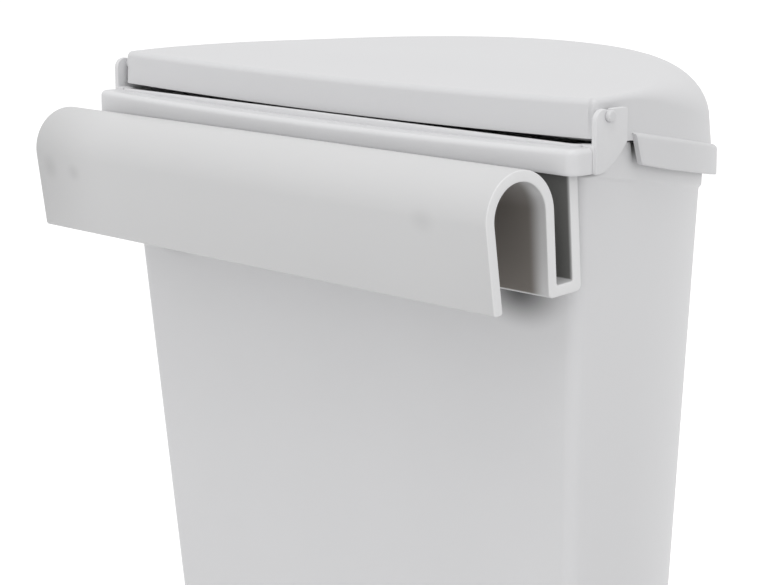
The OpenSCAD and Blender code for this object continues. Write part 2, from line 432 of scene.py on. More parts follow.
@dataclass
class Slab:
    """An outline in the side view, extruded across the object and rounded at its edges."""

    name: str
    rim: Rim
    outline: Sequence[Pair]
    x_from: float
    x_to: float
    round_r: float = 0.35
    round_steps: int = 3
    round_over: float = 35.0

    def build(self) -> bpy.types.Object:
        """Makes the slab.

        Returns:
            The finished object, its place in its mesh.
        """
        deselect()
        bpy.ops.mesh.primitive_circle_add(
            vertices=len(self.outline), radius=0.1, fill_type="NGON")
        obj = bpy.context.object
        obj.name = obj.data.name = self.name
        bpy.ops.object.mode_set(mode="EDIT")
        mesh = bmesh.from_edit_mesh(obj.data)
        for v, (y, z) in zip(mesh.verts, self.outline):
            v.co = self.rim.place(self.x_from, y, z)
        bmesh.update_edit_mesh(obj.data)
        bpy.ops.mesh.extrude_region_move(
            TRANSFORM_OT_translate={"value": ((self.x_to - self.x_from) * MM, 0, 0)})
        bpy.ops.mesh.select_all(action="SELECT")
        bpy.ops.mesh.normals_make_consistent(inside=False)
        bpy.ops.object.mode_set(mode="OBJECT")
        bevel(obj, self.round_r, self.round_steps, self.round_over)
        return obj


def bevel(obj: bpy.types.Object, width: float, steps: int, over: float) -> None:
    """Rounds a piece's sharp edges and shades it.

    Args:
        obj: the piece.
        width: the rounding's width, in millimetres.
        steps: its number of segments.
        over: edges that turn by more than this angle, in degrees, are rounded.
    """
    select(obj)
    tool = obj.modifiers.new("round", "BEVEL")
    tool.width = width * MM
    tool.segments = steps
    tool.limit_method = "ANGLE"
    tool.angle_limit = math.radians(over)
    tool.harden_normals = False
    tool.miter_outer = "MITER_ARC"
    bpy.ops.object.modifier_apply(modifier=tool.name)
    bpy.ops.object.shade_smooth_by_angle(angle=SMOOTH_BELOW)


def mirror_copy(obj: bpy.types.Object, name: str) -> bpy.types.Object:
    """Copies a piece to the other side of the object.

    Args:
        obj: the piece on one side.
        name: the copy's name.

    Returns:
        The copy, with a mesh of its own and its faces outwards.
    """
    select(obj)
    bpy.ops.object.duplicate(linked=False)
    copy = bpy.context.object
    copy.name = copy.data.name = name
    bpy.ops.object.mode_set(mode="EDIT")
    bpy.ops.mesh.select_all(action="SELECT")
    bpy.ops.transform.resize(value=(-1, 1, 1), center_override=(0, 0, 0))
    bpy.ops.mesh.flip_normals()
    bpy.ops.object.mode_set(mode="OBJECT")
    return copy


def join(name: str, parts: Sequence[bpy.types.Object]) -> bpy.types.Object:
    """Joins pieces of one moulding into one object.

    Args:
        name: the name of the result.
        parts: the pieces, the first of which the others join.

    Returns:
        The joined object.
    """
    select(*parts)
    bpy.ops.object.join()
    whole = bpy.context.object
    whole.name = whole.data.name = name
    return whole


# ---------------------------------------------------------------------------
# The tub


@dataclass
class Tub:
    """The tub: shell with its collar, rear rail with ribs, and two ears on their feet."""

    rim: Rim
    base_edge_r: float = 5.0
    rail_corner_r: float = 3.5
    rail_edge_r: float = 1.8
    rib_count: int = 9
    rib_t: float = 1.6
    plate_room: float = 4.0
    ear_corner_r: float = 3.4
    throat_w: float = 2.4
    pin_gap: float = 0.06
    edge_steps: int = 8
    inner_steps: int = 6

    # Levels of the wall's rings outside and inside, below the hinge level
    OUTER_LEVELS = (-220.0, -180.0, -140.0, -100.0, -70.0, -50.0)
    INNER_LEVELS = (-50.0, -100.0, -180.0)
    # The collar's soft lower edge: height above it, and how far the wall has stepped out
    COLLAR_EDGE = ((-2.0, 0.0), (-0.5, 0.0), (-0.1, 0.05), (0.25, 0.4), (0.65, 0.72), (1.1, 0.8))
    # The rim's rounded edges: depth below the rim, and distance from the wall's face
    RIM_OUTSIDE = ((0.8, 0.0), (0.4, 0.0), (0.12, -0.12), (0.0, -0.4))
    RIM_INSIDE = ((0.0, 0.4), (0.12, 0.12), (0.4, 0.0), (2.5, 0.0))
    # The foot's lower edge: distance from the back wall as a share of the ear's front, and
    # height as a share of the foot's
    FOOT_CURVE = ((0.86, 0.72), (0.70, 0.44), (0.52, 0.20), (0.38, 0.06), (0.25, 0.0))

    def shell(self) -> bpy.types.Object:
        """The tub's wall, from the underside of its floor over the rim to its inside.

        Returns:
            The closed shell.
        """
        r, e, w = self.rim, self.base_edge_r, self.rim.wall
        floor = -r.rim_h
        skin = RingSkin("tub_shell", r, r.wall_ring(floor, -e - 6))
        for k in range(self.edge_steps + 1):
            t = math.radians(90 * k / self.edge_steps)
            skin.grow(r.wall_ring(floor + e - e * math.cos(t), -e + e * math.sin(t)))
        for z in (floor + e + 2, *self.OUTER_LEVELS):
            skin.grow(r.wall_ring(z))
        for rise, step in self.COLLAR_EDGE:
            skin.grow(r.wall_ring(lambda y, h=rise: r.collar_z(y) + h, 0.0, step))
        for drop, off in self.RIM_OUTSIDE:
            skin.grow(r.wall_ring(lambda y, h=drop: r.rim_z(y) - h, off, r.collar_step))
        for drop, off in self.RIM_INSIDE:
            skin.grow(r.wall_ring(lambda y, h=drop: r.rim_z(y) - h, off - w, 0.0))
        inner = max(1.0, e - w)
        for z in (*self.INNER_LEVELS, floor + w + inner + 2):
            skin.grow(r.wall_ring(z, -w))
        for k in range(self.inner_steps, -1, -1):
            t = math.radians(90 * k / self.inner_steps)
            skin.grow(r.wall_ring(floor + w + inner - inner * math.cos(t),
                                  -w - inner + inner * math.sin(t)))
        skin.grow(r.wall_ring(floor + w, -w - inner - 4))
        skin.cap(0).cap(skin.rows)
        return skin.done()

    def rail_outline(self, inset: float) -> tuple[list[Pair], int]:
        """The rail's plan.

        Args:
            inset: how far the plan is drawn in.

        Returns:
            The points, and how many of them make its rear stretch.
        """
        corner = max(self.rail_corner_r - inset, 0.5)
        a = self.rim.rail_a - inset
        y = self.rim.rail_d - inset
        left = arc((-a + corner, y - corner), corner, 180, 90, 8)
        marks = [k / 36 for k in range(1, 36)]
        marks = [0.004, 0.012, *marks, 0.988, 0.996]
        rear = [*left, *((mix(-a + corner, a - corner, m), y) for m in marks),
                *((-x, q) for x, q in reversed(left))]
        return rear + [(x, -self.rim.wall * 0.8) for x, _ in reversed(rear)], len(rear)

    def rail(self) -> bpy.types.Object:
        """The rail behind the rim: a roof and a hanging lip, open below.

        Returns:
            The closed rail, its front buried in the tub's wall.
        """
        r, e = self.rim, self.rail_edge_r
        sag_a = r.ear_a - r.ear_t

        def ring(inset: float, z: float | None, drop: float = 0.0) -> list[Triple]:
            """A level ring, or one that follows the sagging top.

            Args:
                inset: how far the ring is drawn in.
                z: its height, or None to follow the top.
                drop: its depth below the top.

            Returns:
                The ring's points.
            """
            points, _ = self.rail_outline(inset)
            top = [-r.rail_drop - r.rail_sag * (1 - min(1.0, (x / sag_a) ** 2)) - drop
                   for x, _ in points]
            return [(x, y, z if z is not None else t) for (x, y), t in zip(points, top)]

        roof = -r.rail_drop - r.rail_sag - r.rail_roof
        low = -r.rail_low
        skin = RingSkin("tub_rail", r, ring(r.rail_lip, roof))
        for inset, z in ((r.rail_lip, roof - 0.4), (r.rail_lip, low + 0.5),
                         (r.rail_lip - 0.1, low + 0.15), (r.rail_lip - 0.4, low),
                         (0.5, low), (0.15, low + 0.12), (0.0, low + 0.5),
                         (0.0, low + 1.2)):
            skin.grow(ring(inset, z))
        skin.grow(ring(0.0, None, e + 0.8))
        for k in range(self.inner_steps + 1):
            t = math.radians(90 * k / self.inner_steps)
            skin.grow(ring(e - e * math.cos(t), None, e - e * math.sin(t)))
        skin.grow(ring(e + 0.7, None))
        _, n = self.rail_outline(0.0)
        rear, front = list(range(n)), list(range(n, 2 * n))
        skin.bridge_rows(0, rear, front)
        skin.bridge_rows(skin.rows, rear, front)
        return skin.done()

    def ribs(self) -> list[bpy.types.Object]:
        """The ribs under the rail's roof that hold the hanger's plate.

        Returns:
            The ribs, from one end of the rail to the other.
        """
        r = self.rim
        low, roof = -r.rail_low + 1, -r.rail_drop - r.rail_sag - r.rail_roof + 0.5
        y_in = self.plate_room - (r.rail_drop + r.rail_sag + r.rail_roof) * math.tan(r.lean)
        y_out = r.rail_d - r.rail_lip + 0.5
        outline = [(y_in, roof), (y_in, low + 0.8), (y_in + 0.8, low), (y_out, low),
                   (y_out, roof)]
        pitch = 2 * (r.rail_a - 2 * self.rail_corner_r) / self.rib_count
        out = []
        for i in range(self.rib_count):
            x = (i - (self.rib_count - 1) / 2) * pitch
            out.append(Slab(f"tub_rib_{i}", r, outline, x - self.rib_t / 2,
                            x + self.rib_t / 2, round_r=0.15, round_steps=2).build())
        return out

    def ear_outline(self) -> list[Pair]:
        """Side view of an ear with its open bearing and its foot.

        Returns:
            The points, from the upper rear corner over the throat to the lower rear one.
        """
        r, c = self.rim, self.ear_corner_r
        bore = r.pin_r + self.pin_gap
        half = math.degrees(math.asin(self.throat_w / 2 / bore))
        out = arc((-r.ear_back - c, r.ear_top - c), c, 0, 90, 10)
        out += [(-r.pin_y + self.throat_w / 2 + 0.25, r.ear_top),
                (-r.pin_y + self.throat_w / 2, r.ear_top - 0.2)]
        out += arc((-r.pin_y, r.pin_z), bore, 90 - half, -270 + half, 28)
        out += [(-r.pin_y - self.throat_w / 2, r.ear_top - 0.2),
                (-r.pin_y - self.throat_w / 2 - 0.25, r.ear_top)]
        out += arc((-r.ear_front + 0.9, r.ear_top - 0.9), 0.9, 90, 180, 4)
        out += [(-r.ear_front, -r.ear_drop + 0.6), (-r.ear_front + 0.2, -r.ear_drop)]
        return out + self.foot_curve(-r.rail_low) + [(-r.ear_back, -r.rail_low)]

    def foot_curve(self, low: float) -> list[Pair]:
        """The foot's lower edge, from its front end back to where it levels out.

        Args:
            low: height of the level stretch.

        Returns:
            The points of the curve.
        """
        r, tall = self.rim, self.rim.rail_low - self.rim.ear_drop
        return [(-f * r.ear_front, low + h * tall) for f, h in self.FOOT_CURVE]

    def foot_outline(self) -> list[Pair]:
        """Side view of the foot that carries an ear on the collar.

        Returns:
            The points, which lie a little inside the ear's own edges.
        """
        r = self.rim
        low = -r.rail_low + 0.25
        return [(-r.ear_back + 0.3, -r.ear_drop), (-r.ear_back + 0.3, low),
                *reversed(self.foot_curve(low)), (-r.ear_front + 0.25, -r.ear_drop)]

    def ear(self) -> list[bpy.types.Object]:
        """One ear, on the +X side.

        Returns:
            The ear's plate and its foot.
        """
        r = self.rim
        plate = Slab("tub_ear", r, self.ear_outline(), r.ear_a - r.ear_t, r.ear_a,
                     round_r=0.4, round_steps=3, round_over=38.0).build()
        foot = Slab("tub_foot", r, self.foot_outline(), r.collar_a - 0.8,
                    r.ear_a - 0.5, round_r=0.3, round_steps=2).build()
        return [plate, foot]

    def build(self) -> bpy.types.Object:
        """Makes the whole moulding.

        Returns:
            The tub, joined.
        """
        parts = [self.shell(), self.rail(), *self.ribs()]
        ear = self.ear()
        parts += ear
        parts += [mirror_copy(p, p.name + "_far") for p in ear]
        return join("tub_moulding", parts)


# ---------------------------------------------------------------------------
# The lid


@dataclass
class Lid:
    """The hood lid: hood, flange band and two stub pins."""

    rim: Rim
    wall: float = 1.8
    back: float = 4.0
    top: float = 7.9
    rise: float = 0.031
    crown: float = 1.6
    crown_l: float = 46.0
    shoulder_w: float = 20.5
    shoulder_h: float = 17.3
    shoulder_from: float = 12.0
    shoulder_to: float = 84.0
    edge_r: float = 1.9
    rear_gap: float = 2.0
    side_gap: float = 0.9
    corner_r: float = 3.0
    draft: float = 0.09
    flange_h: float = 9.7
    flange_t: float = 2.0
    flange_gap: float = 1.3
    flange_slant: float = 2.8
    shelf_t: float = 2.5
    flange_edge_r: float = 1.6
    flange_toe_r: float = 0.35
    flange_soft: float = 0.3
    slant_share: float = 0.05
    pin_out: float = 1.3
    pin_round: float = 0.45
    pin_crown: float = 0.12
    inner_steps: int = 6
    outer_steps: int = 12

    # Levels of the hood's wall, as shares of its height, and rings of its top, as shares of
    # the way to the middle
    WALL_LEVELS = (0.0, 0.04, 0.5, 0.94)
    TOP_RINGS = (0.02, 0.06, 0.12, 0.2, 0.3, 0.4, 0.5, 0.6, 0.7, 0.8, 0.88, 0.94, 0.975)

    @property
    def half_w(self) -> float:
        """Half the width of the hood's rear end."""
        return self.rim.ear_a - self.rim.ear_t - self.side_gap

    @property
    def depth(self) -> float:
        """Depth of the hood from its rear wall to its front."""
        return self.rim.collar_d - self.back - self.rim.seat_gap

    def top_z(self, x: float, y: float) -> float:
        """Height of the hood's top, sagging at the rear wall and crowned in front.

        Args:
            x: distance from the middle plane.
            y: distance from the back wall.

        Returns:
            The height above the hinge level.
        """
        depth = -self.back - y
        bulge = mix(-self.rim.rail_sag, self.crown, smooth(depth / self.crown_l))
        return self.top + self.rise * depth + bulge * (1 - (x / self.half_w) ** 2)

    def low_z(self, x: float, y: float) -> float:
        """Height of the hood's lower edge.

        Args:
            x: distance from the middle plane.
            y: distance from the back wall.

        Returns:
            The height above the hinge level.
        """
        r = self.rim
        if y > -r.ear_front:
            sag = r.rail_sag * (1 - (x / self.half_w) ** 2)
            sag *= smooth((y + self.back + self.corner_r + 2) / 2)
            return -(r.rail_drop - self.rear_gap) - sag
        return r.rim_z(y) + r.seat_gap

    def shoulder(self, y: float) -> float:
        """How far the edge has grown into the full shoulder, from 0 to 1."""
        return smooth((-self.back - y - self.shoulder_from)
                      / (self.shoulder_to - self.shoulder_from))

    def hood_rings(self, t: float, edge_steps: int) -> list[list[Triple]]:
        """One skin of the hood.

        Args:
            t: how far the skin lies inside the outer one.
            edge_steps: segments across the edge.

        Returns:
            Rings from its lower edge to the middle of its top.
        """
        plan = self.rim.plan.points(
            self.half_w - t, self.depth - 2 * t, -self.back - t,
            max(self.corner_r - t, 0.8), self.rim.side_l)
        normals = Plan.normals(plan)
        low = [self.low_z(x, y) for x, y in plan]
        share = [self.shoulder(y) for _, y in plan]
        drop = [mix(self.edge_r, self.shoulder_h, s) for s in share]
        width = [mix(self.edge_r, self.shoulder_w, s) for s in share]
        lean = [0.0 if y > -self.back - t - 0.1
                else self.draft * (self.top_z(x, y) - d - z)
                for (x, y), d, z in zip(plan, drop, low)]

        def inward(i: int, by: float) -> Pair:
            """A point of the plan, moved inwards but never behind the rear wall."""
            (x, y), (nx, ny) = plan[i], normals[i]
            return x - nx * by, min(y - ny * by, -self.back - t)

        rings = []
        count = range(len(plan))
        for f in self.WALL_LEVELS:
            ring = []
            for i in count:
                x, y = inward(i, lean[i] * f)
                ring.append((x, y, mix(low[i], self.top_z(x, y) - t - drop[i], f)))
            rings.append(ring)
        edge: list[Triple] = []
        for k in range(edge_steps + 1):
            turn = math.radians(90 * k / edge_steps)
            edge = []
            for i in count:
                x, y = inward(i, lean[i] + width[i] * (1 - math.cos(turn)))
                edge.append((x, y, self.top_z(x, y) - t - drop[i] * (1 - math.sin(turn))))
            rings.append(edge)
        middle = (0.0, -self.back - self.depth / 2)
        for f in self.TOP_RINGS:
            ring = []
            for x, y, _ in edge:
                x, y = mix(x, middle[0], f), mix(y, middle[1], f)
                ring.append((x, y, self.top_z(x, y) - t))
            rings.append(ring)
        return rings

    def hood(self) -> bpy.types.Object:
        """The hood as one closed skin, inside and outside.

        Returns:
            The hood, with softened edges below.
        """
        inner = self.hood_rings(self.wall, self.inner_steps)
        outer = self.hood_rings(0.0, self.outer_steps)
        rings = list(reversed(inner))
        rings[-1] = [(x, y, z + 0.35) for x, y, z in rings[-1]]
        for share, lift in ((0.8, 0.08), (0.2, 0.0)):
            rings.append([
                (mix(o[0], n[0], share), mix(o[1], n[1], share), mix(o[2], n[2], share) + lift)
                for o, n in zip(outer[0], inner[0])])
        rings += [[(x, y, z + 0.1) for x, y, z in outer[0]], *outer[1:]]
        skin = RingSkin("lid_hood", self.rim, rings[0])
        for ring in rings[1:]:
            skin.grow(ring)
        skin.pinch(0).pinch(skin.rows)
        return skin.done(50)

    def flange_section(self) -> list[Pair]:
        """The band's section.

        Returns:
            Points, each with its distance out of the collar and its height from the top.
        """
        out, into = self.flange_gap + self.flange_t, self.flange_gap
        h, e, toe = self.flange_h, self.flange_edge_r, self.flange_toe_r
        reach = self.rim.seat_gap + 0.7
        section = [(-reach, 0.0), (-0.4, 0.0)]
        section += arc((out - e, -e), e, 90, 0, 5)
        section += [(out, -e - 1.0), (out, -h + 1.0)]
        section += arc((out - toe, -h + toe), toe, 0, -90, 3)
        section += [(into + 0.3, -h), (into, -h + 0.3), (into, -self.shelf_t),
                    (-reach, -self.shelf_t)]
        return section

    def flange(self) -> bpy.types.Object:
        """The band that hangs round the collar, swept along the rounded front.

        Returns:
            The band, closed and slanted at both ends.
        """
        r, section = self.rim, self.flange_section()
        a, b = r.collar_a, r.collar_d - r.side_l
        start = math.degrees(math.asin((r.flange_back - r.side_l) / b))
        marks = [0.0, 0.002, 0.006, 0.015]
        marks += [k / 96 for k in range(3, 94)]
        marks += [1 - m for m in reversed(marks[:4])]
        rings = []
        for m in marks:
            t = math.radians(mix(start, 180 - start, m))
            x, y = a * math.cos(t), -r.side_l - b * math.sin(t)
            nx, ny = math.cos(t) / a, -math.sin(t) / b
            length = math.hypot(nx, ny)
            nx, ny = nx / length, ny / length
            top = r.rim_z(y) + r.seat_gap + self.shelf_t
            slant = self.flange_slant / self.flange_h * max(
                0.0, 1 - min(m, 1 - m) / self.slant_share)
            soft = self.flange_soft if m in (0.0, 1.0) else 0.0
            rings.append([
                (x + nx * (o - soft * (o > self.flange_gap)),
                 y + ny * (o - soft * (o > self.flange_gap)) + slant * h,
                 top + h - soft * (h > -0.5) + soft * (h < -self.flange_h + 0.5))
                for o, h in section])
        skin = RingSkin("lid_flange", r, rings[0])
        for ring in rings[1:]:
            skin.grow(ring)
        skin.cap(0).cap(skin.rows)
        return skin.done(38)

    def pin(self) -> bpy.types.Object:
        """A stub pin on the +X side, with a rounded tip.

        Returns:
            The pin, its root buried in the hood's wall.
        """
        r = self.rim
        root = self.half_w - self.wall - 1
        tip = r.ear_a + self.pin_out
        centre = r.place((root + tip) / 2, -r.pin_y, r.pin_z)
        deselect()
        bpy.ops.mesh.primitive_cylinder_add(
            vertices=48, radius=r.pin_r * MM, depth=(tip - root) * MM, location=centre,
            rotation=(0, math.pi / 2, 0))
        bpy.ops.object.transform_apply(location=True, rotation=True, scale=True)
        pin = bpy.context.object
        pin.name = pin.data.name = "lid_pin"
        bpy.ops.object.mode_set(mode="EDIT")
        bpy.ops.mesh.select_mode(type="FACE")
        bpy.ops.mesh.select_all(action="DESELECT")
        mesh = bmesh.from_edit_mesh(pin.data)
        for f in mesh.faces:
            f.select = f.normal.x > 0.9
        bmesh.update_edit_mesh(pin.data)
        bpy.ops.mesh.inset(thickness=self.pin_round * r.pin_r * MM)
        bpy.ops.transform.translate(value=(self.pin_crown * MM, 0, 0))
        bpy.ops.object.mode_set(mode="OBJECT")
        bevel(pin, self.pin_round, 4, 60)
        return pin

    def build(self) -> bpy.types.Object:
        """Makes the whole moulding.

        Returns:
            The lid, joined.
        """
        pin = self.pin()
        return join("lid_moulding",
                    [self.hood(), self.flange(), pin, mirror_copy(pin, "lid_pin_far")])


# ---------------------------------------------------------------------------
# The door hanger


@dataclass
class DoorHanger:
    """The S-shaped hanger: plate, foot, inner arm, bend and outer lip."""

    rim: Rim
    inset: float = 4.5
    t: float = 3.4
    channel_w: float = 6.6
    door_gap: float = 20.4
    height: float = 38.8
    lip_l: float = 25.2
    lip_lean: float = 3.9
    plate_gap: float = 0.3
    wall_gap: float = 0.3
    heel_r: float = 2.0
    toe_r: float = 1.6

    @property
    def half(self) -> float:
        """Half the hanger's length."""
        return self.rim.rail_a - self.inset

    @property
    def arm(self) -> float:
        """Distance of the inner arm from the back wall."""
        return self.wall_gap + self.t + self.channel_w

    @property
    def top(self) -> float:
        """Height of the plate's and the bend's top."""
        r = self.rim
        return -(self.plate_gap + r.rail_drop + r.rail_sag + r.rail_roof)

    @property
    def centre(self) -> Pair:
        """Centre of the bend."""
        bend = self.door_gap / 2
        return self.arm + self.t + bend, self.top - self.t - bend

    def leant(self, y: float, z: float) -> Pair:
        """Turns a point of the upright side view with the back wall's lean."""
        c, s = math.cos(-self.rim.lean), math.sin(-self.rim.lean)
        return y * c - z * s, y * s + z * c

    def _shade(self, centre: Pair, radius: float, soft: float, floor: float, end: float,
               fade: float, tint: Triple, crown: float = 0.0,
               deep: float = 500.0) -> "Shade":
        """A shade in the hanger, all in millimetres.

        Args:
            centre: its centre in the upright side view.
            radius: its reach above and beside the centre.
            soft: the width of its soft edge.
            floor: height at which it ends, from the centre.
            end: distance from the hanger's ends at which it starts.
            fade: the stretch over which it comes in.
            tint: the colour that it multiplies by.
            crown: how much weaker it is at the top.
            deep: distance from the hanger's ends at which it is gone.

        Returns:
            The shade, leaning with the hanger.
        """
        return Shade(self.rim.place(0, *self.leant(*centre)), radius * MM, soft * MM,
                     floor * MM, (self.half - end) * MM, fade * MM, tint,
                     inner=(self.half - deep) * MM, crown=crown)

    def finish(self, finish: "Plastic") -> "Plastic":
        """The hanger's own finish.

        Args:
            finish: the plain plastic.

        Returns:
            The plastic with pale sawn ends, and with shade in the bend and the channel.
        """
        t, low = self.t, self.top - self.height
        channel = (self.wall_gap + t + self.channel_w / 2, self.top - self.channel_w / 2)
        ends = self._shade(self.centre, radius=300, soft=5, floor=-300, end=0.1, fade=0.3,
                           tint=(0.81, 0.81, 0.81))
        bend = self._shade(self.centre, radius=self.door_gap / 2 + 0.9, soft=0.5,
                           floor=low - self.centre[1] + 0.5, end=1.8, fade=5.8,
                           tint=(0.37, 0.34, 0.31), crown=0.35, deep=36)
        slot = self._shade(channel, radius=self.channel_w / 2 + 0.6, soft=0.4,
                           floor=low + t - channel[1] + 0.2, end=0.1, fade=1.4,
                           tint=(0.26, 0.26, 0.25), crown=0.2, deep=15)
        return replace(finish, shades=(ends, bend, slot))

    def outline(self) -> list[Pair]:
        """Side view of the hanger, leaning with the tub's back wall.

        Returns:
            The points, from the plate's top round the outside and back along the inside.
        """
        t = self.t
        bend = self.door_gap / 2
        arm, top, centre = self.arm, self.top, self.centre
        low = top - self.height
        turn = math.radians(self.lip_lean)

        def on_lip(out: float, down: float) -> Pair:
            """A point of the lip, from the bend's centre across and along it."""
            return (centre[0] + out * math.cos(turn) - down * math.sin(turn),
                    centre[1] - out * math.sin(turn) - down * math.cos(turn))

        points = [(self.wall_gap, top), (self.wall_gap + t, top)]
        points += [(self.wall_gap + t, low + t + 0.5), (self.wall_gap + t + 0.15, low + t + 0.15),
                   (self.wall_gap + t + 0.5, low + t),
                   (arm - 0.7, low + t), (arm - 0.2, low + t + 0.2), (arm, low + t + 0.7)]
        points += arc(centre, bend + t, 180, -self.lip_lean, 56)
        points += [on_lip(bend + t, self.lip_l - 1.0), on_lip(bend + t - 0.25, self.lip_l - 0.25),
                   on_lip(bend + t - 1.0, self.lip_l), on_lip(bend + 0.5, self.lip_l),
                   on_lip(bend + 0.1, self.lip_l - 0.2), on_lip(bend, self.lip_l - 0.7)]
        points += arc(centre, bend, -self.lip_lean, 180, 44)
        points += arc((arm + t - self.toe_r, low + self.toe_r), self.toe_r, 360, 270, 8)
        points += arc((self.wall_gap + self.heel_r, low + self.heel_r), self.heel_r,
                      270, 180, 8)
        return [self.leant(y, z) for y, z in points]

    def build(self) -> bpy.types.Object:
        """The extrusion, with its sawn ends softened."""
        return Slab("hanger_extrusion", self.rim, self.outline(), -self.half, self.half,
                    round_r=0.45, round_steps=4, round_over=50.0).build()


# ---------------------------------------------------------------------------
# Finishes


class Graph:
    """A short way to add and link the nodes of one node tree."""

    def __init__(self, tree: bpy.types.NodeTree) -> None:
        """Keeps the tree."""
        self.tree = tree

    def node(self, kind: str, **values: object) -> bpy.types.Node:
        """Adds a node.

        Args:
            kind: the node's type.
            values: attributes to set on it.

        Returns:
            The node.
        """
        made = self.tree.nodes.new(kind)
        for key, value in values.items():
            setattr(made, key, value)
        return made

    def link(self, source: bpy.types.NodeSocket, target: bpy.types.NodeSocket) -> None:
        """Links two sockets."""
        self.tree.links.new(source, target)

    def math(self, operation: str, a: object, b: object = 0.0) -> bpy.types.NodeSocket:
        """Adds a math node.

        Args:
            operation: what the node does.
            a: its first operand, a socket or a number.
            b: its second.

        Returns:
            The result.
        """
        made = self.node("ShaderNodeMath", operation=operation)
        for socket, value in zip(made.inputs, (a, b)):
            if isinstance(value, bpy.types.NodeSocket):
                self.link(value, socket)
            else:
                socket.default_value = value
        return made.outputs[0]


class SharedEffect:
    """A shader node group that several materials use, each with its own values."""

    NAME = ""
    VECTORS: tuple[str, ...] = ("Point",)
    SIZES: tuple[str, ...] = ()
    RESULTS: tuple[str, ...] = ("Mask",)

    @classmethod
    def fill(cls, g: Graph, into: bpy.types.NodeOutputs, out: bpy.types.NodeInputs) -> None:
        """Adds the group's nodes.

        Args:
            g: the group's graph.
            into: the sockets of its input.
            out: the sockets of its output.
        """
        raise NotImplementedError

    @classmethod
    def tree(cls) -> bpy.types.NodeTree:
        """Makes the node group, once.

        Returns:
            The group, with its named inputs and outputs.
        """
        if cls.NAME in bpy.data.node_groups:
            return bpy.data.node_groups[cls.NAME]
        group = bpy.data.node_groups.new(cls.NAME, "ShaderNodeTree")
        for names, way, kind in ((cls.VECTORS, "INPUT", "NodeSocketVector"),
                                 (cls.SIZES, "INPUT", "NodeSocketFloat"),
                                 (cls.RESULTS, "OUTPUT", "NodeSocketFloat")):
            for name in names:
                group.interface.new_socket(name, in_out=way, socket_type=kind)
        g = Graph(group)
        cls.fill(g, g.node("NodeGroupInput").outputs, g.node("NodeGroupOutput").inputs)
        return group

    @classmethod
    def use(cls, g: Graph, point: bpy.types.NodeSocket,
            values: dict[str, object]) -> bpy.types.NodeOutputs:
        """Places the group in a material.

        Args:
            g: the material's graph.
            point: the Object coordinates.
            values: the values of its other inputs, by name.

        Returns:
            The outputs of the placed group.
        """
        node = g.node("ShaderNodeGroup", node_tree=cls.tree())
        g.link(point, node.inputs["Point"])
        for name, value in values.items():
            node.inputs[name].default_value = value
        return node.outputs


class MouldedGrain(SharedEffect):
    """Fine moulded grain with slow unevenness, shared by all the plastics."""

    NAME = "Moulded grain"
    SIZES = ("Grain Scale", "Cloud Scale")
    RESULTS = ("Grain", "Cloud")

    @classmethod
    def fill(cls, g: Graph, into: bpy.types.NodeOutputs, out: bpy.types.NodeInputs) -> None:
        """Adds one noise for each result.

        Args:
            g: the group's graph.
            into: the sockets of its input.
            out: the sockets of its output.
        """
        for result, detail, roughness in (("Grain", 3.0, 0.6), ("Cloud", 2.0, 0.45)):
            noise = g.node("ShaderNodeTexNoise")
            noise.inputs["Detail"].default_value = detail
            noise.inputs["Roughness"].default_value = roughness
            g.link(into["Point"], noise.inputs["Vector"])
            g.link(into[f"{result} Scale"], noise.inputs["Scale"])
            g.link(noise.outputs["Fac"], out[result])


class SoftSpot(SharedEffect):
    """A soft round mark at a place on the object."""

    NAME = "Soft spot"
    VECTORS = ("Point", "Place", "Stretch")

    @classmethod
    def fill(cls, g: Graph, into: bpy.types.NodeOutputs, out: bpy.types.NodeInputs) -> None:
        """Fades the mark with the distance from its place, as a share of its stretch.

        Args:
            g: the group's graph.
            into: the sockets of its input.
            out: the sockets of its output.
        """
        away = g.node("ShaderNodeVectorMath", operation="SUBTRACT")
        scaled = g.node("ShaderNodeVectorMath", operation="DIVIDE")
        length = g.node("ShaderNodeVectorMath", operation="LENGTH")
        fade = g.node("ShaderNodeMapRange", interpolation_type="SMOOTHSTEP")
        fade.inputs["From Min"].default_value = 1.0
        fade.inputs["From Max"].default_value = 0.0
        g.link(into["Point"], away.inputs[0])
        g.link(into["Place"], away.inputs[1])
        g.link(away.outputs[0], scaled.inputs[0])
        g.link(into["Stretch"], scaled.inputs[1])
        g.link(scaled.outputs[0], length.inputs[0])
        g.link(length.outputs["Value"], fade.inputs["Value"])
        g.link(fade.outputs["Result"], out["Mask"])


